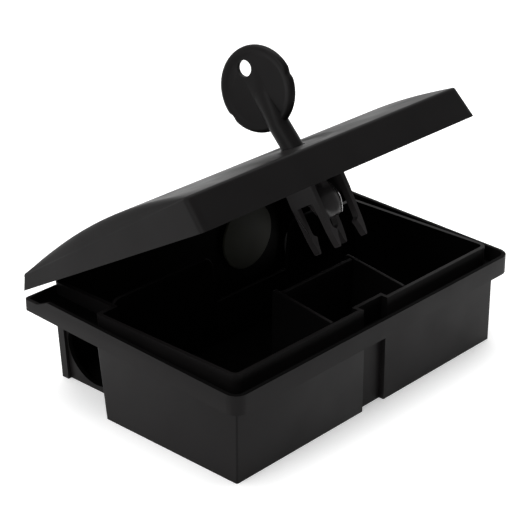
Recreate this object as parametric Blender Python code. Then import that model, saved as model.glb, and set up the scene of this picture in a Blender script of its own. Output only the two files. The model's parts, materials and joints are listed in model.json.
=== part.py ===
"""Lockable mouse bait station: a walled tray, a hinged domed lid and a key-operated latch.

X runs along the hinge, -Y points to the front, where the lid opens, and +Z is up.
The origin is on the tray's underside, in the middle of its length.
The lid stands open by LID_OPEN, with the key in the lock and the latch arms spread.
Dimensions are in millimetres, and become metres where a mesh is made.
"""

import math

import bmesh
import bpy

MM = 0.001
GAP = 0.3  # clearance between neighbouring solids
CUT_PAST = 1.0  # a cutting tool runs past the face it opens by this much
OVERLAP = 1.0  # pieces that are joined overlap by this much
ARC_STEP = math.radians(15)  # angle between the points of a rounded corner
ROUND_SIDES = 32

# Tray: walls, with the raised lip that stands above the rim gutter
LIP_TOP_Z = 34.0
LIP_THICKNESS = 1.3
FLOOR_THICKNESS = 1.5
WALL_HALF_X = 60.8
WALL_FRONT_Y = -39.6
WALL_CORNER = 0.6
LIP_HALF_X = 59.6
LIP_FRONT_Y = -38.2
LIP_CORNER = 3.0
BLOCK_BACK_Y = 15.3  # rear end of the wide front part, at the floor
BLOCK_BACK_DRAFT = 0.12  # it leans back by this much for each mm of height
ENTRY_HALF_X = 50.7  # outer face of the walls with the entry holes, at the floor
ENTRY_DRAFT = 0.07
ENTRY_WALL = 1.5
STEP_CORNER = 0.8
BACK_Y = 45.1
BACK_WALL = 1.4

# Tray: entry holes, one at each end of the rear corridor
ENTRY_Y = 30.5
ENTRY_Z = 13.2
ENTRY_RADIUS = 11.4
ENTRY_FRONT_Y = 23.4  # the holes are cut off flat here, level with the corridor walls
ENTRY_STEPS = 24
POST_HALF_X = 52.0  # corner posts behind the entry holes, at the floor
POST_DRAFT = 0.06
POST_DEPTH = 2.8

# Tray: rim, a flange with an upstanding band around it
RIM_HALF_X = 65.0
RIM_FRONT_Y = -43.5
RIM_BACK_Y = 46.3
RIM_FRONT_CORNER = 4.2
RIM_BACK_CORNER = 1.8
RIM_BAND = 1.3
RIM_SLOPE = 0.04  # flange and band rise this much for each mm towards the back
FLANGE_FRONT_Z = 24.8  # underside of the flange at the front
FLANGE_THICKNESS = 1.3
RIM_FRONT_Z = 31.0
RIM_CREST_Y = 35.0  # behind this line the band's top drops
RIM_DROP_END_Y = 39.8  # to RIM_BACK_Z here
RIM_BACK_Z = 32.0

# Tray: finger notch in the middle of the front wall, and the lip's jog above it
NOTCH_LEFT_X = -4.8
NOTCH_RIGHT_X = 5.5
NOTCH_DEPTH = 1.8
JOG_LEFT_X = -3.6
JOG_RIGHT_X = 7.6
JOG_INNER_Y = -34.5

# Partitions standing on the floor
RIB = 1.3
CORRIDOR_WALL_Y = 22.4
OPENING_LEFT_X = -4.1  # opening between the two corridor walls, at the floor
OPENING_RIGHT_X = 27.6
OPENING_LEAN = 2.9  # each side leans back by this much over the full height
RIB_CORNER = 4.0
SILL_TOP_Z = 17.0
WELL_LEFT_X = -16.3
WELL_RIGHT_X = 17.7
WELL_BACK_Y = -16.0
WELL_WALL_END_Y = -13.0
WELL_SLOPE = 0.147  # the tops of the well's side walls rise towards the back

# Catch rail in the lock well, a T in section
CATCH_FRONT_Y = -31.0
CATCH_BACK_Y = -18.0
CATCH_STEM = 4.0
CATCH_HEAD = 6.2
CATCH_HEAD_BOTTOM_Z = 12.9
CATCH_TOP_Z = 14.6
CATCH_CHAMFER = 1.0

# Knock-out disc on the inner face of the back wall
DISC_X = 32.0
DISC_Z = 21.8
DISC_RADIUS = 12.0
DISC_THICKNESS = 0.8

# Snap beads on the inner face of the rim band
BEAD_Y = 33.9
BEAD_LENGTH = 3.1
BEAD_Z = 32.4
BEAD_RADIUS = 0.6

# Hinge behind the rim
HINGE_Y = 48.5
HINGE_Z = 30.8
LID_OPEN = math.radians(33.0)
HINGE_X = 42.0
KNUCKLE_LENGTH = 9.0
KNUCKLE_RADIUS = 1.55
PIN_BORE = 0.95
PIN_RADIUS = 0.65
EAR = 1.8
EAR_FOOT_Z = 28.7
HINGE_WEB = (0.8, 0.6)  # depth and height of the web that joins the ears

# Lid, measured from its lower back edge: d towards the front, z upwards
LID_BACK = 1.52  # lower back edge behind the hinge axis
LID_RISE = 1.93  # lower back edge above the hinge axis
LID_HALF_X = 61.8
LID_DEPTH = 91.0
LID_EDGE_SLOPE = -0.0686  # the lower edge falls towards the front
LID_WALL = 1.2
CREASE_HALF_X = 61.0
CREASE_BACK_D = 2.0
CREASE_FRONT_D = 89.3
CREASE_Z = 4.6
RIDGE_D = 46.5
RIDGE_Z = 9.2
SHOULDER = 3.1  # width of the rounded shoulder at each end of the dome
LID_CORNER = 2.0
LID_CROSS_STEPS = 18
SHOULDER_STEPS = 4

# Lock: the key's axis leans back from the lid's normal
KEY_D = 72.1
KEY_Z = 7.4
KEY_LEAN = math.radians(10.3)
KEYHOLE_RADIUS = 3.85
DISH_RADIUS = 13.0
DISH_DEPTH = 0.6
SLEEVE_TOP = -2.9
SLEEVE_BOTTOM = -12.6
SLEEVE_RADIUS = 5.0
SLEEVE_BORE = 4.4

# Cam, turned by the key between the latch arms
CAM_TOP = -14.9
CAM_BOTTOM = -25.0
CAM_HALF_WIDTH = 5.6
CAM_HALF_THICKNESS = 4.4
CAM_NECK_RADIUS = 4.1
CAM_NECK_TOP = -4.0
CAM_SOCKET_RADIUS = 3.6
CAM_SOCKET_BOTTOM = -15.6
CAM_SLOT = (5.6, 2.4)
CAM_SLOT_BOTTOM = -22.4
# Share of the cam's height, then of its full width there
CAM_PROFILE = ((0.0, 0.55), (0.12, 0.8), (0.35, 0.95), (0.6, 1.0), (0.88, 1.0), (1.0, 0.9))

# Latch arms, two prongs each
ARM_ROOT_X = 6.9
ARM_ROOT_Z = 4.6
ARM_INNER_X = 5.95
ARM_THICKNESS = 1.7
ARM_WEB_Z = -11.0  # the two prongs of an arm part here
PRONG_WIDTH = 2.4
PRONG_FRONT_D = 79.2
PRONG_BACK_D = 70.0
PRONG_TIP_Z = -26.0
BARB_SHOULDER_Z = -20.6
BARB_INNER_X = 4.5
BARB_EDGE = 0.25
BARB_POINT_INSET = 1.7
BARB_POINT_ROUND = 0.5
PRONG_TAPER = 0.5

# Key
KEY_SIDES = 48
KEY_HEAD_CENTRE = 20.4
KEY_HEAD_RADIUS = 13.6
KEY_HEAD_THICKNESS = 2.9
KEY_WEB_THICKNESS = 1.5
KEY_RIM_WIDTH = 3.0
KEY_HOLE_RADIUS = 2.6
KEY_HOLE_OFFSET = 7.4  # the hole's centre is this far above the bow's
KEY_SHANK_RADIUS = 3.4
KEY_SHANK_BOTTOM = -15.0
KEY_TAPER_BOTTOM = 8.0
KEY_TAPER_TOP = 19.8
KEY_TAPER_END = (3.1, 0.9)  # half width and half thickness where the shank ends on the web
KEY_BIT = (4.8, 1.8)
KEY_BIT_BOTTOM = -21.6
KEY_TWIST = math.radians(-80.0)

BODY_COLOUR = (0.018, 0.016, 0.0165, 1.0)
LATCH_COLOUR = (0.024, 0.022, 0.0225, 1.0)
CAM_COLOUR = (0.045, 0.042, 0.043, 1.0)
DISC_COLOUR = (0.020, 0.021, 0.015, 1.0)


def remove_all_objects():
    for item in list(bpy.data.objects):
        bpy.data.objects.remove(item, do_unlink=True)


def make_material(name, colour, roughness):
    material = bpy.data.materials.new(name)
    material.use_nodes = True
    shader = material.node_tree.nodes["Principled BSDF"]
    shader.inputs["Base Color"].default_value = colour
    shader.inputs["Roughness"].default_value = roughness
    shader.inputs["Metallic"].default_value = 0.0
    return material


def link_mesh(name, mesh_builder):
    """Turn a bmesh in millimetres into a linked object in metres."""
    bmesh.ops.recalc_face_normals(mesh_builder, faces=mesh_builder.faces)
    bmesh.ops.scale(mesh_builder, vec=(MM, MM, MM), verts=mesh_builder.verts)
    mesh = bpy.data.meshes.new(name)
    mesh_builder.to_mesh(mesh)
    mesh_builder.free()
    item = bpy.data.objects.new(name, mesh)
    bpy.context.collection.objects.link(item)
    return item


def rounded(corners):
    """Outline through (u, v, radius) corners, with an arc at each corner that has a radius."""
    points = []
    count = len(corners)
    for index, (u, v, radius) in enumerate(corners):
        if radius == 0:
            points.append((u, v))
            continue
        before = corners[index - 1]
        after = corners[(index + 1) % count]
        angle_in = math.atan2(v - before[1], u - before[0])
        angle_out = math.atan2(after[1] - v, after[0] - u)
        turn = (angle_out - angle_in + math.pi) % math.tau - math.pi
        side = math.copysign(1.0, turn)
        setback = radius * math.tan(abs(turn) / 2)
        centre_u = u - setback * math.cos(angle_in) - side * radius * math.sin(angle_in)
        centre_v = v - setback * math.sin(angle_in) + side * radius * math.cos(angle_in)
        steps = max(2, round(abs(turn) / ARC_STEP))
        for step in range(steps + 1):
            angle = angle_in - side * math.pi / 2 + turn * step / steps
            points.append((centre_u + radius * math.cos(angle), centre_v + radius * math.sin(angle)))
    return points


def mirrored(right_half):
    """Corner list of a shape that is symmetric about u = 0, from its right half."""
    left_half = [(-u, v, radius) for u, v, radius in reversed(right_half)]
    return right_half + left_half


def circle(radius, centre=(0.0, 0.0), sides=ROUND_SIDES, second_radius=None):
    second_radius = radius if second_radius is None else second_radius
    points = []
    for side in range(sides):
        angle = math.tau * side / sides
        points.append((centre[0] + radius * math.cos(angle), centre[1] + second_radius * math.sin(angle)))
    return points


def rectangle(width, height):
    half_u = width / 2
    half_v = height / 2
    return [(-half_u, -half_v), (half_u, -half_v), (half_u, half_v), (-half_u, half_v)]


def loft(name, rings):
    """Closed solid through rings of equally many (x, y, z) points, capped at both ends."""
    builder = bmesh.new()
    ring_verts = [[builder.verts.new(point) for point in ring] for ring in rings]
    for lower, upper in zip(ring_verts, ring_verts[1:]):
        for index in range(len(lower)):
            following = (index + 1) % len(lower)
            builder.faces.new((lower[index], lower[following], upper[following], upper[index]))
    builder.faces.new(ring_verts[0])
    builder.faces.new(ring_verts[-1])
    return link_mesh(name, builder)


def prism(name, outline, low, high, axis="Z"):
    """Straight solid of a 2-D outline, standing along one axis from low to high."""
    place = {
        "X": lambda u, v, w: (w, u, v),
        "Y": lambda u, v, w: (u, w, v),
        "Z": lambda u, v, w: (u, v, w),
    }[axis]
    return loft(name, [[place(u, v, level) for u, v in outline] for level in (low, high)])


def combine(target, tool, operation):
    """Apply one exact Boolean to target and delete the tool."""
    modifier = target.modifiers.new(operation, "BOOLEAN")
    modifier.operation = operation
    modifier.solver = "EXACT"
    modifier.object = tool
    graph = bpy.context.evaluated_depsgraph_get()
    result = bpy.data.meshes.new_from_object(target.evaluated_get(graph))
    target.modifiers.clear()
    target.data = result
    bpy.data.objects.remove(tool, do_unlink=True)
    return target


def finish(item, material, smooth=True):
    """Give the object its material, and shade its rounded stretches smooth."""
    item.data.name = item.name
    item.data.materials.clear()
    item.data.materials.append(material)
    if smooth:
        item.data.shade_smooth()
        item.data.set_sharp_from_angle(angle=math.radians(32))
    return item


def block_back_y(z):
    return BLOCK_BACK_Y + BLOCK_BACK_DRAFT * z


def entry_half_x(z):
    return ENTRY_HALF_X + ENTRY_DRAFT * z


def tray_outline(z, half_x, front_y, corner, inset, jog):
    """Plan of the tray's wall at height z: a wide front block, with a narrower corridor behind it.

    jog is (left x, right x, y) of the step in the middle of the front wall.
    """
    jog_left, jog_right, jog_y = jog
    block_back = block_back_y(z) - inset
    entry = entry_half_x(z) - inset
    back = BACK_Y - (BACK_WALL if inset else 0.0)
    side = [
        (half_x, front_y, corner),
        (half_x, block_back, STEP_CORNER),
        (entry, block_back, STEP_CORNER),
        (entry, back, STEP_CORNER),
    ]
    left_side = [(-x, y, radius) for x, y, radius in reversed(side)]
    front_step = [
        (jog_left, front_y, 0),
        (jog_left, jog_y, 0),
        (jog_right, jog_y, 0),
        (jog_right, front_y, 0),
    ]
    return rounded(front_step + side + left_side)


def tray_ring(level, shape):
    """The tray's outline where it meets a surface of height level(y)."""
    ring = []
    for index, (_, flat_y) in enumerate(tray_outline(level(0.0), **shape)):
        z = level(flat_y)
        x, y = tray_outline(z, **shape)[index]
        ring.append((x, y, z))
    return ring


def tray_solid(name, bottom, top, **shape):
    """Solid of the tray's outline between two surfaces, each given as a height for each y."""
    return loft(name, [tray_ring(level, shape) for level in (bottom, top)])


def flat(z):
    return lambda y: z


def flange_bottom_z(y):
    return FLANGE_FRONT_Z + RIM_SLOPE * (y - RIM_FRONT_Y)


def flange_middle_z(y):
    return flange_bottom_z(y) + FLANGE_THICKNESS / 2


def rim_top_z(y):
    if y <= RIM_CREST_Y:
        return RIM_FRONT_Z + RIM_SLOPE * (y - RIM_FRONT_Y)
    crest = rim_top_z(RIM_CREST_Y)
    share = min(1.0, (y - RIM_CREST_Y) / (RIM_DROP_END_Y - RIM_CREST_Y))
    return crest + (RIM_BACK_Z - crest) * share


def rim_outline(inset):
    """Plan of the rim, with points on each side where the top of its band bends."""
    half_x = RIM_HALF_X - inset
    right = [
        (half_x, RIM_FRONT_Y + inset, RIM_FRONT_CORNER - inset),
        (half_x, RIM_CREST_Y, 0),
        (half_x, RIM_DROP_END_Y, 0),
        (half_x, RIM_BACK_Y - inset, RIM_BACK_CORNER - inset),
    ]
    return rounded(mirrored(right))


def entry_outline():
    """Outline of the entry holes: a circle with its front cut off flat."""
    arc_end = math.acos((ENTRY_FRONT_Y - ENTRY_Y) / ENTRY_RADIUS)
    points = []
    for step in range(ENTRY_STEPS + 1):
        angle = arc_end * (2 * step / ENTRY_STEPS - 1)
        points.append((ENTRY_Y + ENTRY_RADIUS * math.cos(angle), ENTRY_Z + ENTRY_RADIUS * math.sin(angle)))
    return points


def make_tray(material):
    wall_jog = (NOTCH_LEFT_X, NOTCH_RIGHT_X, WALL_FRONT_Y + NOTCH_DEPTH)
    lip_jog = (JOG_LEFT_X, JOG_RIGHT_X, JOG_INNER_Y - LIP_THICKNESS)
    inner_jog = (JOG_LEFT_X - LIP_THICKNESS, JOG_RIGHT_X + LIP_THICKNESS, JOG_INNER_Y)
    tray = tray_solid(
        "base_tray", flat(0.0), flange_middle_z,
        half_x=WALL_HALF_X, front_y=WALL_FRONT_Y, corner=WALL_CORNER, inset=0.0, jog=wall_jog,
    )
    lip = tray_solid(
        "lip", flange_middle_z, flat(LIP_TOP_Z),
        half_x=LIP_HALF_X, front_y=LIP_FRONT_Y, corner=LIP_CORNER, inset=0.0, jog=lip_jog,
    )
    rings = [[(x, y, flange_bottom_z(y)) for x, y in rim_outline(0.0)]]
    rings.append([(x, y, rim_top_z(y)) for x, y in rim_outline(0.0)])
    rings.append([(x, y, rim_top_z(y)) for x, y in rim_outline(RIM_BAND)])
    rings.append([(x, y, flange_bottom_z(y) + FLANGE_THICKNESS) for x, y in rim_outline(RIM_BAND)])
    combine(tray, loft("rim", rings), "UNION")
    combine(tray, lip, "UNION")
    for side in (-1, 1):
        post_rings = []
        front_y = BACK_Y - POST_DEPTH
        for z in (0.0, flange_middle_z(front_y)):
            inner_x = side * (entry_half_x(z) - ENTRY_WALL)
            outer_x = side * (POST_HALF_X + POST_DRAFT * z)
            plan = [(inner_x, front_y), (outer_x, front_y), (outer_x, BACK_Y), (inner_x, BACK_Y)]
            post_rings.append([(x, y, z) for x, y in plan])
        combine(tray, loft("post", post_rings), "UNION")
    cavity = tray_solid(
        "cavity", flat(FLOOR_THICKNESS), flat(LIP_TOP_Z + CUT_PAST),
        half_x=LIP_HALF_X - LIP_THICKNESS, front_y=LIP_FRONT_Y + LIP_THICKNESS,
        corner=LIP_CORNER - LIP_THICKNESS, inset=ENTRY_WALL, jog=inner_jog,
    )
    combine(tray, cavity, "DIFFERENCE")
    combine(tray, prism("entry_bore", entry_outline(), -RIM_HALF_X, RIM_HALF_X, "X"), "DIFFERENCE")
    return finish(tray, material)


def make_partitions(material):
    foot = FLOOR_THICKNESS + GAP
    low_y = CORRIDOR_WALL_Y - RIB / 2
    high_y = CORRIDOR_WALL_Y + RIB / 2
    inner_low = entry_half_x(foot) - ENTRY_WALL - GAP
    inner_high = entry_half_x(LIP_TOP_Z) - ENTRY_WALL - GAP
    left = rounded([
        (-inner_low, foot, 0),
        (OPENING_LEFT_X, foot, 0),
        (OPENING_LEFT_X - OPENING_LEAN, LIP_TOP_Z, RIB_CORNER),
        (-inner_high, LIP_TOP_Z, RIB_CORNER),
    ])
    right = rounded([
        (OPENING_RIGHT_X, foot, 0),
        (inner_low, foot, 0),
        (inner_high, LIP_TOP_Z, RIB_CORNER),
        (OPENING_RIGHT_X + OPENING_LEAN, LIP_TOP_Z, RIB_CORNER),
    ])
    sill_lean = OPENING_LEAN * (SILL_TOP_Z - foot) / (LIP_TOP_Z - foot)
    sill = rounded([
        (OPENING_LEFT_X + GAP, foot, 0),
        (OPENING_RIGHT_X - GAP, foot, 0),
        (OPENING_RIGHT_X - GAP + sill_lean, SILL_TOP_Z, 0),
        (OPENING_LEFT_X + GAP - sill_lean, SILL_TOP_Z, 0),
    ])
    finish(prism("corridor_wall_left", left, low_y, high_y, "Y"), material)
    finish(prism("corridor_wall_right", right, low_y, high_y, "Y"), material)
    finish(prism("corridor_sill", sill, low_y, high_y, "Y"), material)

    front_y = LIP_FRONT_Y + LIP_THICKNESS + GAP
    end_top_z = LIP_TOP_Z + WELL_SLOPE * (WELL_WALL_END_Y - front_y)
    side_wall = rounded([
        (front_y, foot, 0),
        (WELL_WALL_END_Y, foot, 0),
        (WELL_WALL_END_Y, end_top_z, 1.0),
        (front_y, LIP_TOP_Z, 0),
    ])
    for name, centre_x in (("well_wall_left", WELL_LEFT_X), ("well_wall_right", WELL_RIGHT_X)):
        finish(prism(name, side_wall, centre_x - RIB / 2, centre_x + RIB / 2, "X"), material)
    reach = RIB / 2 + GAP
    back_top_z = LIP_TOP_Z + WELL_SLOPE * (WELL_BACK_Y - front_y)
    back_wall = [
        (WELL_LEFT_X + reach, foot),
        (WELL_RIGHT_X - reach, foot),
        (WELL_RIGHT_X - reach, back_top_z),
        (WELL_LEFT_X + reach, back_top_z),
    ]
    finish(prism("well_wall_back", back_wall, WELL_BACK_Y - RIB / 2, WELL_BACK_Y + RIB / 2, "Y"), material)

    head = CATCH_HEAD / 2
    stem = CATCH_STEM / 2
    catch = rounded(mirrored([
        (stem, foot, 0),
        (stem, CATCH_HEAD_BOTTOM_Z, 0),
        (head, CATCH_HEAD_BOTTOM_Z, 0),
        (head - CATCH_CHAMFER, CATCH_TOP_Z, 0.8),
    ]))
    finish(prism("lock_catch", catch, CATCH_FRONT_Y, CATCH_BACK_Y, "Y"), material)


def make_small_tray_parts(body, disc):
    wall_face = BACK_Y - BACK_WALL - GAP
    outline = circle(DISC_RADIUS, (DISC_X, DISC_Z))
    finish(prism("knockout_disc", outline, wall_face - DISC_THICKNESS, wall_face, "Y"), disc)
    band_face = RIM_HALF_X - RIM_BAND - GAP
    for name, side in (("snap_bead_left", -1), ("snap_bead_right", 1)):
        profile = [(0.0, BEAD_Z - 2 * BEAD_RADIUS), (-BEAD_RADIUS, BEAD_Z), (0.0, BEAD_Z + 2 * BEAD_RADIUS)]
        outline = [(side * (band_face + u), z) for u, z in profile]
        bead = prism(name, outline, BEAD_Y - BEAD_LENGTH / 2, BEAD_Y + BEAD_LENGTH / 2, "Y")
        finish(bead, body, smooth=False)


def make_hinge_bracket(name, centre_x, material):
    """Two ears with the pin between them, standing behind the rim band."""
    front_y = RIM_BACK_Y + GAP
    back_y = HINGE_Y + KNUCKLE_RADIUS
    ear_inner = KNUCKLE_LENGTH / 2 + GAP
    reach = ear_inner + EAR / 2
    pin = prism(name, circle(PIN_RADIUS, (HINGE_Y, HINGE_Z), 16), centre_x - reach, centre_x + reach, "X")
    ear_outline = rounded([
        (front_y, EAR_FOOT_Z, 0),
        (back_y, HINGE_Z - KNUCKLE_RADIUS, KNUCKLE_RADIUS - 0.1),
        (back_y, HINGE_Z + KNUCKLE_RADIUS, KNUCKLE_RADIUS - 0.1),
        (front_y, HINGE_Z + KNUCKLE_RADIUS, 0),
    ])
    for side in (-1, 1):
        low_x, high_x = sorted((centre_x + side * ear_inner, centre_x + side * (ear_inner + EAR)))
        combine(pin, prism("ear", ear_outline, low_x, high_x, "X"), "UNION")
    web_depth, web_height = HINGE_WEB
    web_outline = [
        (front_y, EAR_FOOT_Z),
        (front_y + web_depth, EAR_FOOT_Z),
        (front_y + web_depth, EAR_FOOT_Z + web_height),
        (front_y, EAR_FOOT_Z + web_height),
    ]
    combine(pin, prism("web", web_outline, centre_x - reach, centre_x + reach, "X"), "UNION")
    return finish(pin, material)


def make_pivot(name, parent, location, rotation):
    pivot = bpy.data.objects.new(name, None)
    bpy.context.collection.objects.link(pivot)
    pivot.parent = parent
    pivot.location = [MM * value for value in location]
    pivot.rotation_euler = rotation
    return pivot


def lid_point(x, d, z):
    """Position on the closed lid, measured from the hinge axis."""
    return (x, LID_BACK - d, LID_RISE + z)


def dome_z(d):
    """Height of the dome at d: two half parabolas that meet at the ridge."""
    span = RIDGE_D - CREASE_BACK_D if d < RIDGE_D else CREASE_FRONT_D - RIDGE_D
    return RIDGE_Z - (RIDGE_Z - CREASE_Z) * ((d - RIDGE_D) / span) ** 2


def lid_stations(inset):
    """Values of x across the lid, close together on the two shoulders."""
    edge = CREASE_HALF_X - inset
    shoulder = []
    for step in range(SHOULDER_STEPS + 1):
        angle = math.pi / 2 * step / SHOULDER_STEPS
        shoulder.append(edge - SHOULDER * (1 - math.sin(angle)))
    return [-x for x in reversed(shoulder)] + shoulder


def lid_surface(builder, inset, drop):
    """Top and skirt of the lid, moved inwards by inset; returns the vertices of the lower edge."""
    edge = CREASE_HALF_X - inset
    corner = LID_CORNER - inset
    grid = []
    for x in lid_stations(inset):
        past = max(0.0, abs(x) - (edge - corner))
        corner_cut = corner - math.sqrt(max(0.0, corner ** 2 - past ** 2))
        shoulder_share = max(0.0, abs(x) - (edge - SHOULDER)) / SHOULDER
        height_share = math.sqrt(max(0.0, 1 - shoulder_share ** 2))
        back_d = CREASE_BACK_D + inset + corner_cut
        front_d = CREASE_FRONT_D - inset - corner_cut
        row = []
        for step in range(LID_CROSS_STEPS + 1):
            d = back_d + (front_d - back_d) * step / LID_CROSS_STEPS
            z = CREASE_Z + (dome_z(d) - CREASE_Z) * height_share - inset
            row.append(builder.verts.new(lid_point(x, d, z)))
        grid.append(row)
    for row, next_row in zip(grid, grid[1:]):
        for step in range(LID_CROSS_STEPS):
            builder.faces.new((row[step], row[step + 1], next_row[step + 1], next_row[step]))
    border = [row[0] for row in grid] + grid[-1][1:]
    border += [row[-1] for row in reversed(grid[:-1])] + list(reversed(grid[0][1:-1]))

    half_x = LID_HALF_X - inset
    depth = LID_DEPTH - 2 * inset
    crease_span = CREASE_FRONT_D - CREASE_BACK_D - 2 * inset
    lower = []
    for vertex in border:
        crease_d = LID_BACK - vertex.co.y
        d = inset + depth * (crease_d - CREASE_BACK_D - inset) / crease_span
        x = vertex.co.x * half_x / edge
        lower.append(builder.verts.new(lid_point(x, d, LID_EDGE_SLOPE * d - drop)))
    count = len(border)
    for index in range(count):
        following = (index + 1) % count
        builder.faces.new((border[index], border[following], lower[following], lower[index]))
    return lower


def lid_block(name, inset, drop):
    builder = bmesh.new()
    builder.faces.new(lid_surface(builder, inset, drop))
    return link_mesh(name, builder)


def on_key_axis(item):
    """Move a tool built on the key's axis to its place in the lid."""
    item.location = [MM * value for value in lid_point(0.0, KEY_D, KEY_Z)]
    item.rotation_euler = (-KEY_LEAN, 0.0, 0.0)
    return item


def make_lid(pivot, material):
    lid = lid_block("lid_shell", 0.0, 0.0)
    combine(lid, lid_block("hollow", LID_WALL, 3.0), "DIFFERENCE")
    dish_curve = (DISH_RADIUS ** 2 + DISH_DEPTH ** 2) / (2 * DISH_DEPTH)
    rings = []
    for step in range(5):
        radius = DISH_RADIUS * (0.2 + 1.1 * step / 4)
        height = dish_curve - DISH_DEPTH - math.sqrt(dish_curve ** 2 - radius ** 2)
        rings.append([(x, y, height) for x, y in circle(radius)])
    dish_centre = lid_point(0.0, KEY_D, dome_z(KEY_D))
    dish_tilt = math.atan2(dome_z(KEY_D - 5) - dome_z(KEY_D + 5), 10.0)
    dish = loft("dish", rings)
    dish.location = [MM * value for value in dish_centre]
    dish.rotation_euler = (dish_tilt, 0.0, 0.0)
    combine(lid, dish, "DIFFERENCE")
    combine(lid, on_key_axis(prism("keyhole", circle(KEYHOLE_RADIUS), -8.0, 8.0)), "DIFFERENCE")
    lid.parent = pivot
    return finish(lid, material)


def make_knuckle(name, centre_x, pivot, material):
    """Barrel around the hinge pin, under the lid's lower back edge."""
    low_x = centre_x - KNUCKLE_LENGTH / 2
    high_x = centre_x + KNUCKLE_LENGTH / 2
    knuckle = prism(name, circle(KNUCKLE_RADIUS, sides=24), low_x, high_x, "X")
    bore = prism("bore", circle(PIN_BORE, sides=24), low_x - CUT_PAST, high_x + CUT_PAST, "X")
    combine(knuckle, bore, "DIFFERENCE")
    knuckle.parent = pivot
    return finish(knuckle, material)


def make_sleeve(pivot, material):
    """Tube under the lid that guides the cam's neck."""
    sleeve = prism("lock_sleeve", circle(SLEEVE_RADIUS), SLEEVE_BOTTOM, SLEEVE_TOP)
    bore = prism("bore", circle(SLEEVE_BORE), SLEEVE_BOTTOM - CUT_PAST, SLEEVE_TOP + CUT_PAST)
    combine(sleeve, bore, "DIFFERENCE")
    sleeve.parent = pivot
    return finish(sleeve, material)


def make_cam(pivot, material):
    """Oval cam with a round neck, a round socket for the key and a slot for its bit."""
    height = CAM_TOP - CAM_BOTTOM
    rings = []
    for height_share, width_share in CAM_PROFILE:
        outline = circle(CAM_HALF_WIDTH * width_share, second_radius=CAM_HALF_THICKNESS * width_share)
        rings.append([(x, y, CAM_BOTTOM + height * height_share) for x, y in outline])
    cam = loft("lock_cam", rings)
    combine(cam, prism("neck", circle(CAM_NECK_RADIUS), CAM_TOP - OVERLAP, CAM_NECK_TOP), "UNION")
    socket_outline = circle(CAM_SOCKET_RADIUS, sides=24)
    socket = prism("socket", socket_outline, CAM_SOCKET_BOTTOM, CAM_NECK_TOP + CUT_PAST)
    combine(cam, socket, "DIFFERENCE")
    slot = prism("slot", rectangle(*CAM_SLOT), CAM_SLOT_BOTTOM, CAM_SOCKET_BOTTOM + CUT_PAST)
    slot.rotation_euler.z = KEY_TWIST
    combine(cam, slot, "DIFFERENCE")
    cam.parent = pivot
    return finish(cam, material)


def make_key(pivot, material):
    """Round bow with a raised rim, a tapering shank and a flat bit."""
    face = KEY_HEAD_THICKNESS / 2
    key = prism("key", circle(KEY_HEAD_RADIUS, (0.0, KEY_HEAD_CENTRE), KEY_SIDES), -face, face, "Y")
    pocket_outline = circle(KEY_HEAD_RADIUS - KEY_RIM_WIDTH, (0.0, KEY_HEAD_CENTRE), KEY_SIDES)
    for side in (-1, 1):
        low, high = sorted((side * KEY_WEB_THICKNESS / 2, side * (face + CUT_PAST)))
        combine(key, prism("pocket", pocket_outline, low, high, "Y"), "DIFFERENCE")
    hole_centre = (0.0, KEY_HEAD_CENTRE + KEY_HOLE_OFFSET)
    hole = prism("hole", circle(KEY_HOLE_RADIUS, hole_centre, 24), -face - CUT_PAST, face + CUT_PAST, "Y")
    combine(key, hole, "DIFFERENCE")
    rings = []
    for z, half_width, half_thickness in (
        (KEY_SHANK_BOTTOM, KEY_SHANK_RADIUS, KEY_SHANK_RADIUS),
        (KEY_TAPER_BOTTOM, KEY_SHANK_RADIUS, KEY_SHANK_RADIUS),
        (KEY_TAPER_TOP, *KEY_TAPER_END),
    ):
        rings.append([(x, y, z) for x, y in circle(half_width, sides=24, second_radius=half_thickness)])
    combine(key, loft("shank", rings), "UNION")
    bit = prism("bit", rectangle(*KEY_BIT), KEY_BIT_BOTTOM, KEY_SHANK_BOTTOM + OVERLAP)
    combine(key, bit, "UNION")
    key.parent = pivot
    return finish(key, material)


def make_arm(name, side, pivot, material):
    """Latch arm of two prongs that hang from one plate; its origin is on its bending line."""
    outer_x = ARM_INNER_X + ARM_THICKNESS
    barb_tip_x = outer_x - BARB_POINT_INSET

    def strip(strip_name, outline, centre_d, width):
        rings = []
        for d in (centre_d - width / 2, centre_d + width / 2):
            rings.append([(side * (x - ARM_ROOT_X), PRONG_BACK_D - d, z - ARM_ROOT_Z) for x, z in outline])
        return loft(strip_name, rings)

    plate = [
        (ARM_INNER_X, ARM_ROOT_Z),
        (outer_x, ARM_ROOT_Z),
        (outer_x, ARM_WEB_Z),
        (ARM_INNER_X, ARM_WEB_Z),
    ]
    prong = [
        (ARM_INNER_X, ARM_WEB_Z + OVERLAP),
        (outer_x, ARM_WEB_Z + OVERLAP),
        (outer_x - PRONG_TAPER, BARB_SHOULDER_Z),
        (barb_tip_x + BARB_POINT_ROUND, PRONG_TIP_Z + BARB_POINT_ROUND),
        (barb_tip_x, PRONG_TIP_Z),
        (barb_tip_x - BARB_POINT_ROUND, PRONG_TIP_Z + BARB_POINT_ROUND),
        (BARB_INNER_X, BARB_SHOULDER_Z - BARB_EDGE),
        (BARB_INNER_X + BARB_EDGE, BARB_SHOULDER_Z),
        (ARM_INNER_X - BARB_EDGE, BARB_SHOULDER_Z + PRONG_TAPER),
    ]
    plate_centre = (PRONG_BACK_D + PRONG_FRONT_D) / 2
    plate_width = PRONG_FRONT_D - PRONG_BACK_D + PRONG_WIDTH
    arm = strip(name, plate, plate_centre, plate_width)
    for centre_d in (PRONG_BACK_D, PRONG_FRONT_D):
        combine(arm, strip("prong", prong, centre_d, PRONG_WIDTH), "UNION")
    arm.parent = pivot
    return finish(arm, material)


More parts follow.
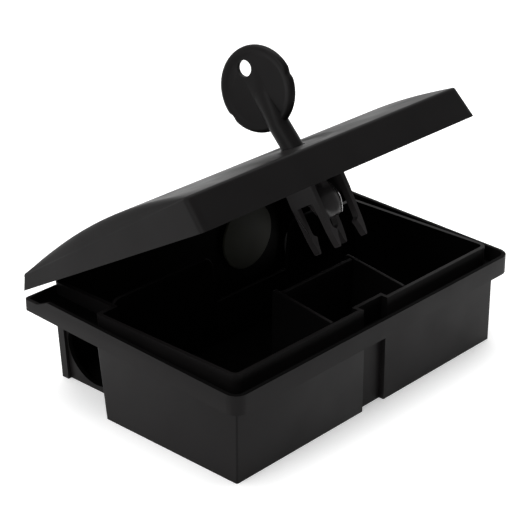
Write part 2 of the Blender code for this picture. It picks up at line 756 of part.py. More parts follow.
def main():
    remove_all_objects()
    body = make_material("body_plastic", BODY_COLOUR, 0.42)
    latch = make_material("latch_plastic", LATCH_COLOUR, 0.36)
    cam = make_material("cam_plastic", CAM_COLOUR, 0.22)
    key = make_material("key_plastic", BODY_COLOUR, 0.38)
    disc = make_material("disc_plastic", DISC_COLOUR, 0.6)

    make_tray(body)
    make_partitions(body)
    make_small_tray_parts(body, disc)
    make_hinge_bracket("hinge_bracket_left", -HINGE_X, body)
    make_hinge_bracket("hinge_bracket_right", HINGE_X, body)

    lid_pivot = make_pivot("lid_pivot", None, (0.0, HINGE_Y, HINGE_Z), (-LID_OPEN, 0.0, 0.0))
    make_lid(lid_pivot, body)
    make_knuckle("hinge_knuckle_left", -HINGE_X, lid_pivot, body)
    make_knuckle("hinge_knuckle_right", HINGE_X, lid_pivot, body)

    key_pivot = make_pivot("key_pivot", lid_pivot, lid_point(0.0, KEY_D, KEY_Z), (-KEY_LEAN, 0.0, 0.0))
    make_sleeve(key_pivot, latch)
    make_cam(key_pivot, cam)
    twisted = make_pivot("key_twist", key_pivot, (0.0, 0.0, 0.0), (0.0, 0.0, KEY_TWIST))
    make_key(twisted, key)

    for name, side in (("latch_arm_left", -1), ("latch_arm_right", 1)):
        root = lid_point(side * ARM_ROOT_X, PRONG_BACK_D, ARM_ROOT_Z)
        make_arm(name, side, make_pivot(name + "_pivot", lid_pivot, root, (0.0, 0.0, 0.0)), latch)


main()
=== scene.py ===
"""Looks of the mouse bait station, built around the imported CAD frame.

Fine meshes stand for the lid, key, cam, latch arms and rounded tray pieces.
Dimensions are in millimetres and become metres where a mesh is made.
"""

import json
import math

import bmesh
import bpy
from mathutils import Matrix, Vector

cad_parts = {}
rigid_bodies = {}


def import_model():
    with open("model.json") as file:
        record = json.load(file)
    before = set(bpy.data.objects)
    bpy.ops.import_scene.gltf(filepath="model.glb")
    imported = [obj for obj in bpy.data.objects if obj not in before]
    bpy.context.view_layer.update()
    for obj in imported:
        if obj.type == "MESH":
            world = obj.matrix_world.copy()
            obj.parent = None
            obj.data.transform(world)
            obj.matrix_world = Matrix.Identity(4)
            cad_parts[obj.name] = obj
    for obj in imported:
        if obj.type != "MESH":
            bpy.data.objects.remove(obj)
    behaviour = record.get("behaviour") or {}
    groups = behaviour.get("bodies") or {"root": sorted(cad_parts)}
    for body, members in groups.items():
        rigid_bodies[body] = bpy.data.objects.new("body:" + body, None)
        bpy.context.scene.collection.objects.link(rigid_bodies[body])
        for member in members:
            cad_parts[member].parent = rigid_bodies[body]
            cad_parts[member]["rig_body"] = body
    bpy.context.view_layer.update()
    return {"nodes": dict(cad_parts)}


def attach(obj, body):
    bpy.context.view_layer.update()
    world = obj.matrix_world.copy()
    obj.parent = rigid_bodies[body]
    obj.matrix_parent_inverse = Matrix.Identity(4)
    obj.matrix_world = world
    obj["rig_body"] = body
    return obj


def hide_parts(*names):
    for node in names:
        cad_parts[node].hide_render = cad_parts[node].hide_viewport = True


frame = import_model()

MM = 0.001

# Hinge and lid, in the closed lid's own frame: d towards the front, z upwards
HINGE = (0.0, 48.5, 30.8)
LID_OPEN = math.radians(33.0)
LID_BACK = 1.52
LID_RISE = 1.93
LID_HALF_X = 61.8
LID_DEPTH = 91.0
LID_EDGE_SLOPE = -0.0686
LID_WALL = 1.2
CREASE_HALF_X = 61.0
CREASE_BACK_D = 2.0
CREASE_FRONT_D = 89.3
CREASE_Z = 4.6
RIDGE_D = 46.5
RIDGE_Z = 9.2
SHOULDER = 3.1
LEDGE = 0.5  # flat strip between the skirt and the dome's rounded end
LID_CORNER = 2.0
LID_FILLET = 0.9
DISH_RADIUS = 13.0
DISH_SLOPE = 2.6
DISH_DEPTH = 0.6
KEYHOLE_RADIUS = 3.85
KEYHOLE_REACH = 8.0  # the drill goes this far above and below the lid
SKIRT_STEPS = 6
LID_ROW_STEPS = 56
EDGE_STEPS = (0.0, 0.06, 0.2, 0.4, 0.52, 0.7, 1.0, 1.5, 2.2, 3.1, 4.0, 5.0)  # distances in from a crease
ROW_EDGE_REACH = 3.1  # front and back rows use the steps up to here
DISH_STEPS = 10  # stations from the keyhole to the edge of the dish
DISH_REACH_STEPS = 12  # and on past that edge
FLANK_STEPS = 4

# Key and lock, on an axis that leans back from the lid's normal
KEY_D = 72.1
KEY_Z = 7.4
KEY_LEAN = math.radians(10.3)
KEY_TWIST = math.radians(-80.0)
BOW_CENTRE = 20.4
BOW_RADIUS = 13.55
BOW_HALF = 1.42
BOW_WEB_HALF = 0.75
BOW_RIM = 3.0
BOW_HOLE = 2.6
BOW_HOLE_AT = (0.0, 7.4)
BOW_NOTCH_ANGLES = (math.radians(-10.0), math.radians(190.0))
BOW_NOTCH_DEPTH = 0.7
BOW_NOTCH_SPREAD = 0.09
BOW_SIDES = 128
BOW_RIM_STEPS = 16
BOW_RIM_INNER_SHARE = 0.75  # where the rolled rim meets the fillet to the web
BOW_RIM_FOOT_SHARE = 0.62
BOW_FILLET = 0.35
ROUND_SIDES = 48
HOLE_REACH = 4.0
OVERLAP = 1.0  # joined pieces run into each other by this much
SHANK_RADIUS = 3.38
SHANK_BOTTOM = -14.9
SHANK_PROFILE = (  # height, half width, half thickness
    (SHANK_BOTTOM, 3.1, 3.1),
    (SHANK_BOTTOM + 0.3, SHANK_RADIUS, SHANK_RADIUS),
    (7.8, SHANK_RADIUS, SHANK_RADIUS),
    (9.0, SHANK_RADIUS, 3.1),
    (12.0, 3.28, 2.45),
    (15.0, 3.2, 1.8),
    (18.0, 3.12, 1.2),
    (19.7, 3.05, 0.85),
)
BIT_WIDTH = 4.8
BIT_THICKNESS = 1.8
BIT_BOTTOM = -21.5
CAM_TOP = -14.95
CAM_BOTTOM = -24.95
CAM_HALF_WIDTH = 5.55
CAM_HALF_THICKNESS = 4.35
CAM_NECK_RADIUS = 4.1
CAM_NECK_TOP = -4.05
CAM_BORE_RADIUS = 3.6
CAM_BORE_BOTTOM = -15.6
CAM_STEPS = 20
CAM_SWELL_START = 0.13  # the cam's sides follow this stretch of a half turn of sine
CAM_SWELL_SPAN = 0.60
CAM_SWELL_POWER = 0.55
CAM_SHOULDER_SHARE = 0.95  # above this share of its height the cam narrows to its shoulder
CAM_SHOULDER_WIDTH = 0.92
CAM_SHOULDER_TAPER = 1.2

# Latch arms
ARM_INNER_X = 5.95
ARM_THICKNESS = 1.7
ARM_TOP_Z = 4.6
ARM_WEB_Z = -11.0
PRONG_HALF = 1.2
PRONG_FRONT_D = 79.2
PRONG_BACK_D = 70.0
PRONG_TIP_Z = -26.0
BARB_SHOULDER_Z = -20.6
BARB_INNER_X = 4.5
ARM_OUTER_X = ARM_INNER_X + ARM_THICKNESS
PRONG_OUTLINE = (  # x and z: down the outer face, round the tip and up past the barb
    (ARM_INNER_X, ARM_WEB_Z + OVERLAP),
    (ARM_OUTER_X, ARM_WEB_Z + OVERLAP),
    (ARM_OUTER_X - 0.5, BARB_SHOULDER_Z),
    (ARM_OUTER_X - 0.8, BARB_SHOULDER_Z - 2.6),
    (ARM_OUTER_X - 1.2, PRONG_TIP_Z + 0.4),
    (ARM_OUTER_X - 1.7, PRONG_TIP_Z),
    (ARM_OUTER_X - 2.1, PRONG_TIP_Z + 0.6),
    (ARM_OUTER_X - 2.5, BARB_SHOULDER_Z - 2.2),
    (BARB_INNER_X, BARB_SHOULDER_Z - 0.3),
    (BARB_INNER_X + 0.2, BARB_SHOULDER_Z),
    (ARM_INNER_X - 0.25, BARB_SHOULDER_Z + 0.6),
    (ARM_INNER_X - 0.05, BARB_SHOULDER_Z + 2.0),
)

# Inside of the tray, for the faces that take the painted-shade plastic: the body's black plastic made
# darker
INNER_HALF_X = 58.9
INNER_FRONT_Y = -37.5
INNER_BACK_Y = 44.4
INNER_LOW_Z = 1.0
INNER_HIGH_Z = 33.7
BLOCK_BACK_Y = 14.6
BLOCK_BACK_DRAFT = 0.12
ENTRY_HALF_X = 50.0
ENTRY_DRAFT = 0.07
GUTTER_LOW_Z = 26.0
GUTTER_HIGH_Z = 30.0
LOOKS_UP = 0.9  # a face whose normal rises more than this lies flat
FACES_SIDEWAYS = 0.6  # and one that rises less than this is a side

# Rounded copies of the CAD nodes
WELD_DISTANCE = 2e-6  # metres
FLAT_ANGLE = math.radians(0.6)

# Camera and room
CAMERA_AT = (-0.36671, -0.33053, 0.26914)
CAMERA_TURN = (64.735, 0.0, -47.441)
CAMERA_LENS = 118.99
CENTRE = Vector((0.0, 0.0, 0.035))
WORLD_FRONT = 0.15  # the studio is dim in front of the station and bright behind it
WORLD_BACK = 0.9
FLOOR_GLOW = 0.33
FLOOR_REACH = 4.0  # metres

# Plastics: base colours, and the scale and strength of their unevenness
BODY_COLOUR = (0.0053, 0.0048, 0.0049)
# painted shade: the body's plastic made darker and duller, for the shaded cavity and the sides of the
# thin walls
PAINTED_SHADE_COLOUR = (0.0022, 0.0021, 0.0021)
LATCH_COLOUR = (0.012, 0.011, 0.0113)
CAM_COLOUR = (0.022, 0.0205, 0.021)
DISC_COLOUR = (0.030, 0.030, 0.022)
CLOUD_SCALE = 38.0
SMEAR_SCALE = 70.0
RIPPLE_SCALE = 90.0
RIPPLE_DEPTH = 0.0006  # metres
GRAIN_SCALE = 2600.0
GRAIN_DEPTH = 0.00005  # metres
WEAR_START = 0.52
WEAR_END = 0.62
WEAR_STRENGTH = 0.35
WEAR_BRIGHTER = 2.6


# ---------------------------------------------------------------- materials


def plastic(name, colour, roughness, specular, grain=0.25, fleck=0.35):
    """Moulded plastic: uneven tone, fine grain, flow ripples and paler worn edges."""
    material = bpy.data.materials.new(name)
    material.use_nodes = True
    nodes = material.node_tree.nodes
    links = material.node_tree.links
    shader = nodes["Principled BSDF"]
    shader.inputs["Specular IOR Level"].default_value = specular
    place = nodes.new("ShaderNodeTexCoord")

    def noise(scale, detail):
        texture = nodes.new("ShaderNodeTexNoise")
        texture.inputs["Scale"].default_value = scale
        texture.inputs["Detail"].default_value = detail
        links.new(place.outputs["Object"], texture.inputs["Vector"])
        return texture

    def spread(source, low, high):
        """Map the middle of a noise's values onto low..high."""
        ramp = nodes.new("ShaderNodeMapRange")
        ramp.inputs["From Min"].default_value = 0.3
        ramp.inputs["From Max"].default_value = 0.7
        ramp.inputs["To Min"].default_value = low
        ramp.inputs["To Max"].default_value = high
        links.new(source, ramp.inputs["Value"])
        return ramp.outputs["Result"]

    cloud = noise(CLOUD_SCALE, 4.0)
    tone = nodes.new("ShaderNodeMix")
    tone.data_type = "RGBA"
    tone.inputs["A"].default_value = [c * (1 - fleck) for c in colour] + [1.0]
    tone.inputs["B"].default_value = [c * (1 + fleck) for c in colour] + [1.0]
    links.new(cloud.outputs["Fac"], tone.inputs["Factor"])

    geometry = nodes.new("ShaderNodeNewGeometry")
    edge = nodes.new("ShaderNodeMapRange")
    edge.inputs["From Min"].default_value = WEAR_START
    edge.inputs["From Max"].default_value = WEAR_END
    edge.inputs["To Max"].default_value = WEAR_STRENGTH
    links.new(geometry.outputs["Pointiness"], edge.inputs["Value"])
    worn = nodes.new("ShaderNodeMix")
    worn.data_type = "RGBA"
    worn.inputs["B"].default_value = [min(1.0, c * WEAR_BRIGHTER) for c in colour] + [1.0]
    links.new(edge.outputs["Result"], worn.inputs["Factor"])
    links.new(tone.outputs["Result"], worn.inputs["A"])
    links.new(worn.outputs["Result"], shader.inputs["Base Color"])

    smear = noise(SMEAR_SCALE, 6.0)
    uneven = spread(smear.outputs["Fac"], roughness - 0.05, roughness + 0.07)
    links.new(uneven, shader.inputs["Roughness"])

    fine = noise(GRAIN_SCALE, 3.0)
    ripple = noise(RIPPLE_SCALE, 1.0)
    ripple_bump = nodes.new("ShaderNodeBump")
    ripple_bump.inputs["Strength"].default_value = 0.10
    ripple_bump.inputs["Distance"].default_value = RIPPLE_DEPTH
    links.new(ripple.outputs["Fac"], ripple_bump.inputs["Height"])
    fine_bump = nodes.new("ShaderNodeBump")
    fine_bump.inputs["Strength"].default_value = grain
    fine_bump.inputs["Distance"].default_value = GRAIN_DEPTH
    links.new(fine.outputs["Fac"], fine_bump.inputs["Height"])
    links.new(ripple_bump.outputs["Normal"], fine_bump.inputs["Normal"])
    links.new(fine_bump.outputs["Normal"], shader.inputs["Normal"])
    return material


def paint_cavity_shade(item, material):
    """Paint shade on the tray's inner faces and the gutter behind the band: they take the darker copy of
    the body plastic.
    """
    item.data.materials.append(material)
    for face in item.data.polygons:
        x, y, z = face.center / MM
        half_x = INNER_HALF_X
        if y > BLOCK_BACK_Y + BLOCK_BACK_DRAFT * z:
            half_x = ENTRY_HALF_X + ENTRY_DRAFT * z
        in_plan = abs(x) < half_x and INNER_FRONT_Y < y < INNER_BACK_Y
        in_cavity = in_plan and INNER_LOW_Z < z < INNER_HIGH_Z
        on_gutter = face.normal.z > LOOKS_UP and GUTTER_LOW_Z < z < GUTTER_HIGH_Z
        if in_cavity or on_gutter:
            face.material_index = 1


def paint_side_shade(item, material):
    """Paint shade on every face that doesn't look up: it takes the darker copy of the body plastic, and
    the tops stay lit.
    """
    item.data.materials.append(material)
    for face in item.data.polygons:
        if face.normal.z < FACES_SIDEWAYS:
            face.material_index = 1


def dress(item, material):
    item.data.materials.clear()
    item.data.materials.append(material)
    return item


# ---------------------------------------------------------------- meshes


def link_mesh(name, builder, placement=None):
    """Turn a bmesh in millimetres into an object in metres, moved by placement."""
    bmesh.ops.recalc_face_normals(builder, faces=builder.faces)
    if placement is not None:
        bmesh.ops.transform(builder, matrix=placement, verts=builder.verts)
    bmesh.ops.scale(builder, vec=(MM, MM, MM), verts=builder.verts)
    mesh = bpy.data.meshes.new(name)
    builder.to_mesh(mesh)
    builder.free()
    item = bpy.data.objects.new(name, mesh)
    bpy.context.scene.collection.objects.link(item)
    return item


def loft(name, rings, placement=None):
    """Closed body through a row of rings with equal numbers of points."""
    builder = bmesh.new()
    ring_verts = [[builder.verts.new(point) for point in ring] for ring in rings]
    for lower, upper in zip(ring_verts, ring_verts[1:]):
        for index in range(len(lower)):
            following = (index + 1) % len(lower)
            builder.faces.new((lower[index], lower[following], upper[following], upper[index]))
    builder.faces.new(ring_verts[0])
    builder.faces.new(ring_verts[-1])
    return link_mesh(name, builder, placement)


def circle(radius, sides=64, centre=(0.0, 0.0), second_radius=None):
    second_radius = radius if second_radius is None else second_radius
    points = []
    for side in range(sides):
        angle = math.tau * side / sides
        across = centre[0] + radius * math.cos(angle)
        along = centre[1] + second_radius * math.sin(angle)
        points.append((across, along))
    return points


def prism(name, outline, low_z, high_z, placement):
    """Upright bar with the same outline all the way up."""
    return loft(name, [[(x, y, z) for x, y in outline] for z in (low_z, high_z)], placement)


def smooth(item, angle=32.0):
    item.data.shade_smooth()
    item.data.set_sharp_from_angle(angle=math.radians(angle))
    return item


def combine(target, tool, operation):
    """Apply one exact Boolean to target and delete the tool."""
    modifier = target.modifiers.new(operation, "BOOLEAN")
    modifier.operation = operation
    modifier.solver = "EXACT"
    modifier.object = tool
    graph = bpy.context.evaluated_depsgraph_get()
    result = bpy.data.meshes.new_from_object(target.evaluated_get(graph))
    target.modifiers.clear()
    target.data = result
    bpy.data.objects.remove(tool, do_unlink=True)
    return target


def round_edges(item, width, segments=2, angle=40.0):
    """Round the sharp edges with a bevel, and keep the flat faces looking flat."""
    bevel = item.modifiers.new("rounded_edges", "BEVEL")
    bevel.width = width * MM
    bevel.segments = segments
    bevel.limit_method = "ANGLE"
    bevel.angle_limit = math.radians(angle)
    bevel.harden_normals = True
    bevel.miter_outer = "MITER_ARC"
    return item


# ---------------------------------------------------------------- lid


def closed_lid_to_world():
    """From the closed lid's frame, measured from the hinge axis, to the station's frame at rest."""
    return Matrix.Translation(HINGE) @ Matrix.Rotation(-LID_OPEN, 4, "X")


def lid_point(x, d, z):
    return (x, LID_BACK - d, LID_RISE + z)


def dome_z(d):
    span = RIDGE_D - CREASE_BACK_D if d < RIDGE_D else CREASE_FRONT_D - RIDGE_D
    return RIDGE_Z - (RIDGE_Z - CREASE_Z) * ((d - RIDGE_D) / span) ** 2


def inside_outline(x, d, inset):
    """Distance from (x, d) to the crease outline, a rounded rectangle moved in by inset."""
    half_x = CREASE_HALF_X - inset
    half_d = (CREASE_FRONT_D - CREASE_BACK_D) / 2 - inset
    middle = (CREASE_FRONT_D + CREASE_BACK_D) / 2
    corner = LID_CORNER - inset
    over_x = abs(x) - (half_x - corner)
    over_d = abs(d - middle) - (half_d - corner)
    outside = math.hypot(max(over_x, 0.0), max(over_d, 0.0)) + min(max(over_x, over_d), 0.0)
    return corner - outside


def lid_height(x, d, inset):
    """Top surface of the lid: dome, rounded ends, edge fillet and the dish round the keyhole."""
    from_end = CREASE_HALF_X - inset - abs(x)
    rounding = min(1.0, max(0.0, 1 - (from_end - LEDGE) / (SHOULDER - LEDGE)))
    z = CREASE_Z + (dome_z(d) - CREASE_Z) * math.sqrt(1 - rounding ** 2)
    edge = inside_outline(x, d, inset)
    if edge < LID_FILLET:
        short = LID_FILLET - max(edge, 0.0)
        z -= LID_FILLET - math.sqrt(LID_FILLET ** 2 - short ** 2)
    share = min(1.0, max(0.0, (DISH_RADIUS - math.hypot(x, d - KEY_D)) / DISH_SLOPE))
    z -= DISH_DEPTH * share * share * (3 - 2 * share)
    return z - inset


def lid_stations(inset):
    """Values of x across the lid: close together at the ends and round the dish."""
    edge = CREASE_HALF_X - inset
    spacing = DISH_RADIUS / DISH_STEPS
    middle = [step * spacing for step in range(-DISH_REACH_STEPS, DISH_REACH_STEPS + 1)]
    flank_span = edge - EDGE_STEPS[-1] - middle[-1]
    flank = [middle[-1] + flank_span * step / FLANK_STEPS for step in range(1, FLANK_STEPS)]
    ends = [edge - step for step in EDGE_STEPS]
    right = flank + ends[::-1]
    return [-x for x in reversed(right)] + middle + right


def lid_rows(back_d, front_d):
    """Values of d from the back crease to the front one, with fine steps at both."""
    near = [step for step in EDGE_STEPS if step <= ROW_EDGE_REACH]
    inner_back = back_d + near[-1]
    inner_front = front_d - near[-1]
    span = inner_front - inner_back
    inner = [inner_back + span * step / LID_ROW_STEPS for step in range(1, LID_ROW_STEPS)]
    return [back_d + step for step in near] + inner + [front_d - step for step in reversed(near)]


def lid_surface(builder, inset):
    """Outer or inner skin of the lid's wall, giving back the vertices of its lower edge."""
    edge = CREASE_HALF_X - inset
    corner = LID_CORNER - inset
    grid = []
    for x in lid_stations(inset):
        past = max(0.0, abs(x) - (edge - corner))
        cut = corner - math.sqrt(max(0.0, corner ** 2 - past ** 2))
        row = []
        for d in lid_rows(CREASE_BACK_D + inset + cut, CREASE_FRONT_D - inset - cut):
            row.append(builder.verts.new(lid_point(x, d, lid_height(x, d, inset))))
        grid.append(row)
    for row, next_row in zip(grid, grid[1:]):
        for step in range(len(row) - 1):
            builder.faces.new((row[step], row[step + 1], next_row[step + 1], next_row[step]))
    border = [row[0] for row in grid] + grid[-1][1:]
    border += [row[-1] for row in reversed(grid[:-1])] + list(reversed(grid[0][1:-1]))

    half_x = LID_HALF_X - inset
    depth = LID_DEPTH - 2 * inset
    crease_span = CREASE_FRONT_D - CREASE_BACK_D - 2 * inset
    upper = border
    for step in range(1, SKIRT_STEPS + 1):
        share = step / SKIRT_STEPS
        lower = []
        for vertex in border:
            crease_d = LID_BACK - vertex.co.y
            low_d = inset + depth * (crease_d - CREASE_BACK_D - inset) / crease_span
            low = Vector(lid_point(vertex.co.x * half_x / edge, low_d, LID_EDGE_SLOPE * low_d))
            lower.append(builder.verts.new(vertex.co.lerp(low, share)))
        for index in range(len(border)):
            following = (index + 1) % len(border)
            builder.faces.new((upper[index], upper[following], lower[following], lower[index]))
        upper = lower
    return upper


def make_lid(material):
    builder = bmesh.new()
    outer = lid_surface(builder, 0.0)
    inner = lid_surface(builder, LID_WALL)
    for index in range(len(outer)):
        following = (index + 1) % len(outer)
        builder.faces.new((outer[index], outer[following], inner[following], inner[index]))
    lid = link_mesh("lid_fine", builder, closed_lid_to_world())
    keyhole = prism("keyhole", circle(KEYHOLE_RADIUS), -KEYHOLE_REACH, KEYHOLE_REACH, key_to_world())
    combine(lid, keyhole, "DIFFERENCE")
    smooth(lid, 50.0)
    round_edges(lid, 0.25, 2, 55.0)
    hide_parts("lid_shell")
    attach(lid, "lid")
    return dress(lid, material)


# ---------------------------------------------------------------- key and lock


def key_to_world():
    move = Matrix.Translation(lid_point(0.0, KEY_D, KEY_Z))
    return closed_lid_to_world() @ move @ Matrix.Rotation(-KEY_LEAN, 4, "X")


def bow_profile():
    """Radius and depth from the web's front, round the rolled rim, to the web's back."""
    half_rim = BOW_RIM / 2
    middle_rim = BOW_RADIUS - half_rim
    rim = []
    for step in range(BOW_RIM_STEPS + 1):
        across = -math.pi / 2 + math.pi * step / BOW_RIM_STEPS
        rim.append((middle_rim + half_rim * math.cos(across), BOW_HALF * math.sin(across)))
    foot = [
        (middle_rim - half_rim * BOW_RIM_INNER_SHARE, BOW_HALF * BOW_RIM_FOOT_SHARE),
        (BOW_RADIUS - BOW_RIM - BOW_FILLET, BOW_WEB_HALF),
    ]
    return [(radius, -depth) for radius, depth in reversed(foot)] + rim + foot


def notch_share(angle):
    """How much of the notch depth is taken at this angle: 1 at a notch, 0 away from both."""
    share = 0.0
    for notch_angle in BOW_NOTCH_ANGLES:
        away = abs((angle - notch_angle + math.pi) % math.tau - math.pi)
        share = max(share, math.exp(-((away / BOW_NOTCH_SPREAD) ** 2)))
    return share


def bow_ring(radius, depth):
    """Ring of the bow at one depth, notched only outside the middle of its rim."""
    middle_rim = BOW_RADIUS - BOW_RIM / 2
    past_rim = max(0.0, (radius - middle_rim) / (BOW_RIM / 2))
    ring = []
    for side in range(BOW_SIDES):
        angle = math.tau * side / BOW_SIDES
        reach = radius - BOW_NOTCH_DEPTH * notch_share(angle) * past_rim
        ring.append((reach * math.cos(angle), depth, BOW_CENTRE + reach * math.sin(angle)))
    return ring


def make_key(material):
    """Bow with a rolled rim and two small notches, a tapering shank and a flat bit."""
    place = key_to_world() @ Matrix.Rotation(KEY_TWIST, 4, "Z")
    key = loft("key_fine", [bow_ring(radius, depth) for radius, depth in bow_profile()], place)
    hole_circle = circle(BOW_HOLE, ROUND_SIDES, (BOW_HOLE_AT[0], BOW_CENTRE + BOW_HOLE_AT[1]))
    hole_rings = [[(x, y, z) for x, z in hole_circle] for y in (-HOLE_REACH, HOLE_REACH)]
    hole = loft("hole", hole_rings, place)
    combine(key, hole, "DIFFERENCE")

    shank_rings = []
    for z, half_width, half_thickness in SHANK_PROFILE:
        outline = circle(half_width, ROUND_SIDES, second_radius=half_thickness)
        shank_rings.append([(x, y, z) for x, y in outline])
    combine(key, loft("shank", shank_rings, place), "UNION")
    half_x = BIT_WIDTH / 2
    half_y = BIT_THICKNESS / 2
    corners = [(-half_x, -half_y), (half_x, -half_y), (half_x, half_y), (-half_x, half_y)]
    combine(key, prism("bit", corners, BIT_BOTTOM, SHANK_BOTTOM + OVERLAP, place), "UNION")
    smooth(key, 38.0)
    round_edges(key, 0.22, 2, 38.0)
    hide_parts("key")
    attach(key, "key")
    return dress(key, material)


def cam_width(share):
    """Width of the cam at a share of its height, as a part of its full width."""
    if share < CAM_SHOULDER_SHARE:
        return math.sin(math.pi * (CAM_SWELL_START + CAM_SWELL_SPAN * share)) ** CAM_SWELL_POWER
    return CAM_SHOULDER_WIDTH - (share - CAM_SHOULDER_SHARE) * CAM_SHOULDER_TAPER


def make_cam(material):
    """Glossy oval cam that narrows to its foot, with a shoulder and a bored neck above."""
    place = key_to_world()
    rings = []
    for step in range(CAM_STEPS + 1):
        share = step / CAM_STEPS
        width = cam_width(share)
        outline = circle(CAM_HALF_WIDTH * width, second_radius=CAM_HALF_THICKNESS * width)
        z = CAM_BOTTOM + (CAM_TOP - CAM_BOTTOM) * share
        rings.append([(x, y, z) for x, y in outline])
    cam = loft("cam_fine", rings, place)
    neck = prism("neck", circle(CAM_NECK_RADIUS), CAM_TOP - OVERLAP, CAM_NECK_TOP, place)
    combine(cam, neck, "UNION")
    bore = prism("bore", circle(CAM_BORE_RADIUS), CAM_BORE_BOTTOM, CAM_NECK_TOP + OVERLAP, place)
    combine(cam, bore, "DIFFERENCE")
    smooth(cam, 40.0)
    round_edges(cam, 0.2, 2, 40.0)
    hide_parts("lock_cam")
    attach(cam, "cam")
    return dress(cam, material)


def make_arm(name, side, body, node, material):
    """Latch arm: a plate with two tapering prongs, each with a barb that points inwards."""
    place = closed_lid_to_world()

    def strip(strip_name, outline, low_d, high_d):
        rings = [[lid_point(side * u, d, z) for u, z in outline] for d in (low_d, high_d)]
        return loft(strip_name, rings, place)

    plate = [
        (ARM_INNER_X, ARM_TOP_Z),
        (ARM_OUTER_X, ARM_TOP_Z),
        (ARM_OUTER_X, ARM_WEB_Z),
        (ARM_INNER_X, ARM_WEB_Z),
    ]
    arm = strip(name, plate, PRONG_BACK_D - PRONG_HALF, PRONG_FRONT_D + PRONG_HALF)
    for centre_d in (PRONG_BACK_D, PRONG_FRONT_D):
        prong = strip("prong", PRONG_OUTLINE, centre_d - PRONG_HALF, centre_d + PRONG_HALF)
        combine(arm, prong, "UNION")
    smooth(arm, 30.0)
    round_edges(arm, 0.18, 2, 35.0)
    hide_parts(node)
    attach(arm, body)
    return dress(arm, material)


# ---------------------------------------------------------------- tray


def refine_node(node, width, material, segments=3):
    """Rounded copy of a CAD node: flat facets joined, then its edges bevelled."""
    source = frame["nodes"][node]
    body = source["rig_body"]
    builder = bmesh.new()
    builder.from_mesh(source.data)
    bmesh.ops.remove_doubles(builder, verts=builder.verts, dist=WELD_DISTANCE)
    bmesh.ops.dissolve_limit(
        builder, angle_limit=FLAT_ANGLE, verts=builder.verts, edges=builder.edges
    )
    mesh = bpy.data.meshes.new(node + "_fine")
    builder.to_mesh(mesh)
    builder.free()
    item = bpy.data.objects.new(node + "_fine", mesh)
    bpy.context.scene.collection.objects.link(item)
    smooth(item)
    round_edges(item, width, segments, 32.0)
    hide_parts(node)
    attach(item, body)
    return dress(item, material)


def make_tray(body_material, shade_material, disc_material, latch_material):
    """Rounded copies of every other node: the tray, its partitions, the hinge and the sleeve."""
    # painted shade on the cavity and gutter of the tray
    paint_cavity_shade(refine_node("base_tray", 0.45, body_material), shade_material)
    for thin in (
        "corridor_wall_left", "corridor_wall_right", "corridor_sill",
        "well_wall_left", "well_wall_right", "well_wall_back", "lock_catch",
    ):
        # painted shade on the sides of the partitions, sill, well walls and catch
        paint_side_shade(refine_node(thin, 0.3, body_material), shade_material)
    refine_node("knockout_disc", 0.2, disc_material, 2)
    for small in ("snap_bead_left", "snap_bead_right", "hinge_bracket_left", "hinge_bracket_right"):
        refine_node(small, 0.1, body_material, 2)
    for small in ("hinge_knuckle_left", "hinge_knuckle_right"):
        refine_node(small, 0.15, body_material, 2)
    refine_node("lock_sleeve", 0.2, latch_material, 2)


# ---------------------------------------------------------------- room


def make_floor():
    material = bpy.data.materials.new("pale_floor")
    material.use_nodes = True
    shader = material.node_tree.nodes["Principled BSDF"]
    shader.inputs["Base Color"].default_value = (0.93, 0.93, 0.93, 1.0)
    shader.inputs["Roughness"].default_value = 0.9
    shader.inputs["Specular IOR Level"].default_value = 0.1
    shader.inputs["Emission Color"].default_value = (1.0, 1.0, 1.0, 1.0)
    shader.inputs["Emission Strength"].default_value = FLOOR_GLOW
    builder = bmesh.new()
    corners = []
    for x, y in ((-1, -1), (1, -1), (1, 1), (-1, 1)):
        corners.append(builder.verts.new((x * FLOOR_REACH, y * FLOOR_REACH, 0.0)))
    builder.faces.new(corners)
    mesh = bpy.data.meshes.new("floor")
    builder.to_mesh(mesh)
    builder.free()
    floor = bpy.data.objects.new("floor", mesh)
    floor.data.materials.append(material)
    bpy.context.scene.collection.objects.link(floor)


def add_light(name, place, size, power):
    light = bpy.data.lights.new(name, "AREA")
    light.shape = "RECTANGLE"
    light.size, light.size_y = size
    light.energy = power
    item = bpy.data.objects.new(name, light)
    item.location = place
    item.rotation_euler = (CENTRE - Vector(place)).to_track_quat("-Z", "Y").to_euler()
    bpy.context.scene.collection.objects.link(item)


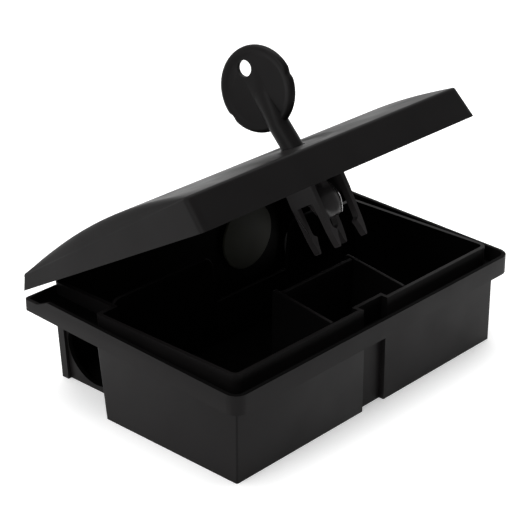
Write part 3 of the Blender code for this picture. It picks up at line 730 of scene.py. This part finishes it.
def make_room():
    make_floor()
    world = bpy.data.worlds.new("studio")
    world.use_nodes = True
    nodes = world.node_tree.nodes
    links = world.node_tree.links
    background = nodes["Background"]
    background.inputs["Color"].default_value = (1.0, 1.0, 1.0, 1.0)
    direction = nodes.new("ShaderNodeTexCoord")
    parts = nodes.new("ShaderNodeSeparateXYZ")
    fade = nodes.new("ShaderNodeMapRange")
    fade.inputs["From Min"].default_value = -0.6
    fade.inputs["From Max"].default_value = 0.05
    fade.inputs["To Min"].default_value = WORLD_FRONT
    fade.inputs["To Max"].default_value = WORLD_BACK
    links.new(direction.outputs["Generated"], parts.inputs["Vector"])
    links.new(parts.outputs["Y"], fade.inputs["Value"])
    links.new(fade.outputs["Result"], background.inputs["Strength"])
    bpy.context.scene.world = world
    add_light("top_softbox", (0.1, 0.15, 1.1), (1.2, 1.0), 9.0)
    add_light("left_softbox", (-1.0, -0.1, 0.6), (0.7, 0.7), 4.0)
    bpy.context.scene.view_settings.view_transform = "Standard"


def make_camera():
    data = bpy.data.cameras.new("camera")
    data.lens = CAMERA_LENS
    data.clip_start = 0.01
    camera = bpy.data.objects.new("camera", data)
    camera.location = CAMERA_AT
    camera.rotation_euler = [math.radians(angle) for angle in CAMERA_TURN]
    bpy.context.scene.collection.objects.link(camera)
    bpy.context.scene.camera = camera


body_plastic = plastic("body_plastic", BODY_COLOUR, 0.42, 0.08)
# painted shade: the same plastic as the body, darker, for faces that lie in shade
shade_painted_plastic = plastic("shade_painted_plastic", PAINTED_SHADE_COLOUR, 0.55, 0.02)
latch_plastic = plastic("latch_plastic", LATCH_COLOUR, 0.34, 0.2)
key_plastic = plastic("key_plastic", BODY_COLOUR, 0.38, 0.08)
cam_plastic = plastic("cam_plastic", CAM_COLOUR, 0.2, 0.4, grain=0.05)
disc_plastic = plastic("disc_plastic", DISC_COLOUR, 0.6, 0.1)

make_lid(body_plastic)
make_key(key_plastic)
make_cam(cam_plastic)
make_arm("arm_left_fine", -1, "arm_left", "latch_arm_left", latch_plastic)
make_arm("arm_right_fine", 1, "arm_right", "latch_arm_right", latch_plastic)
make_tray(body_plastic, shade_painted_plastic, disc_plastic, latch_plastic)

make_room()
make_camera()
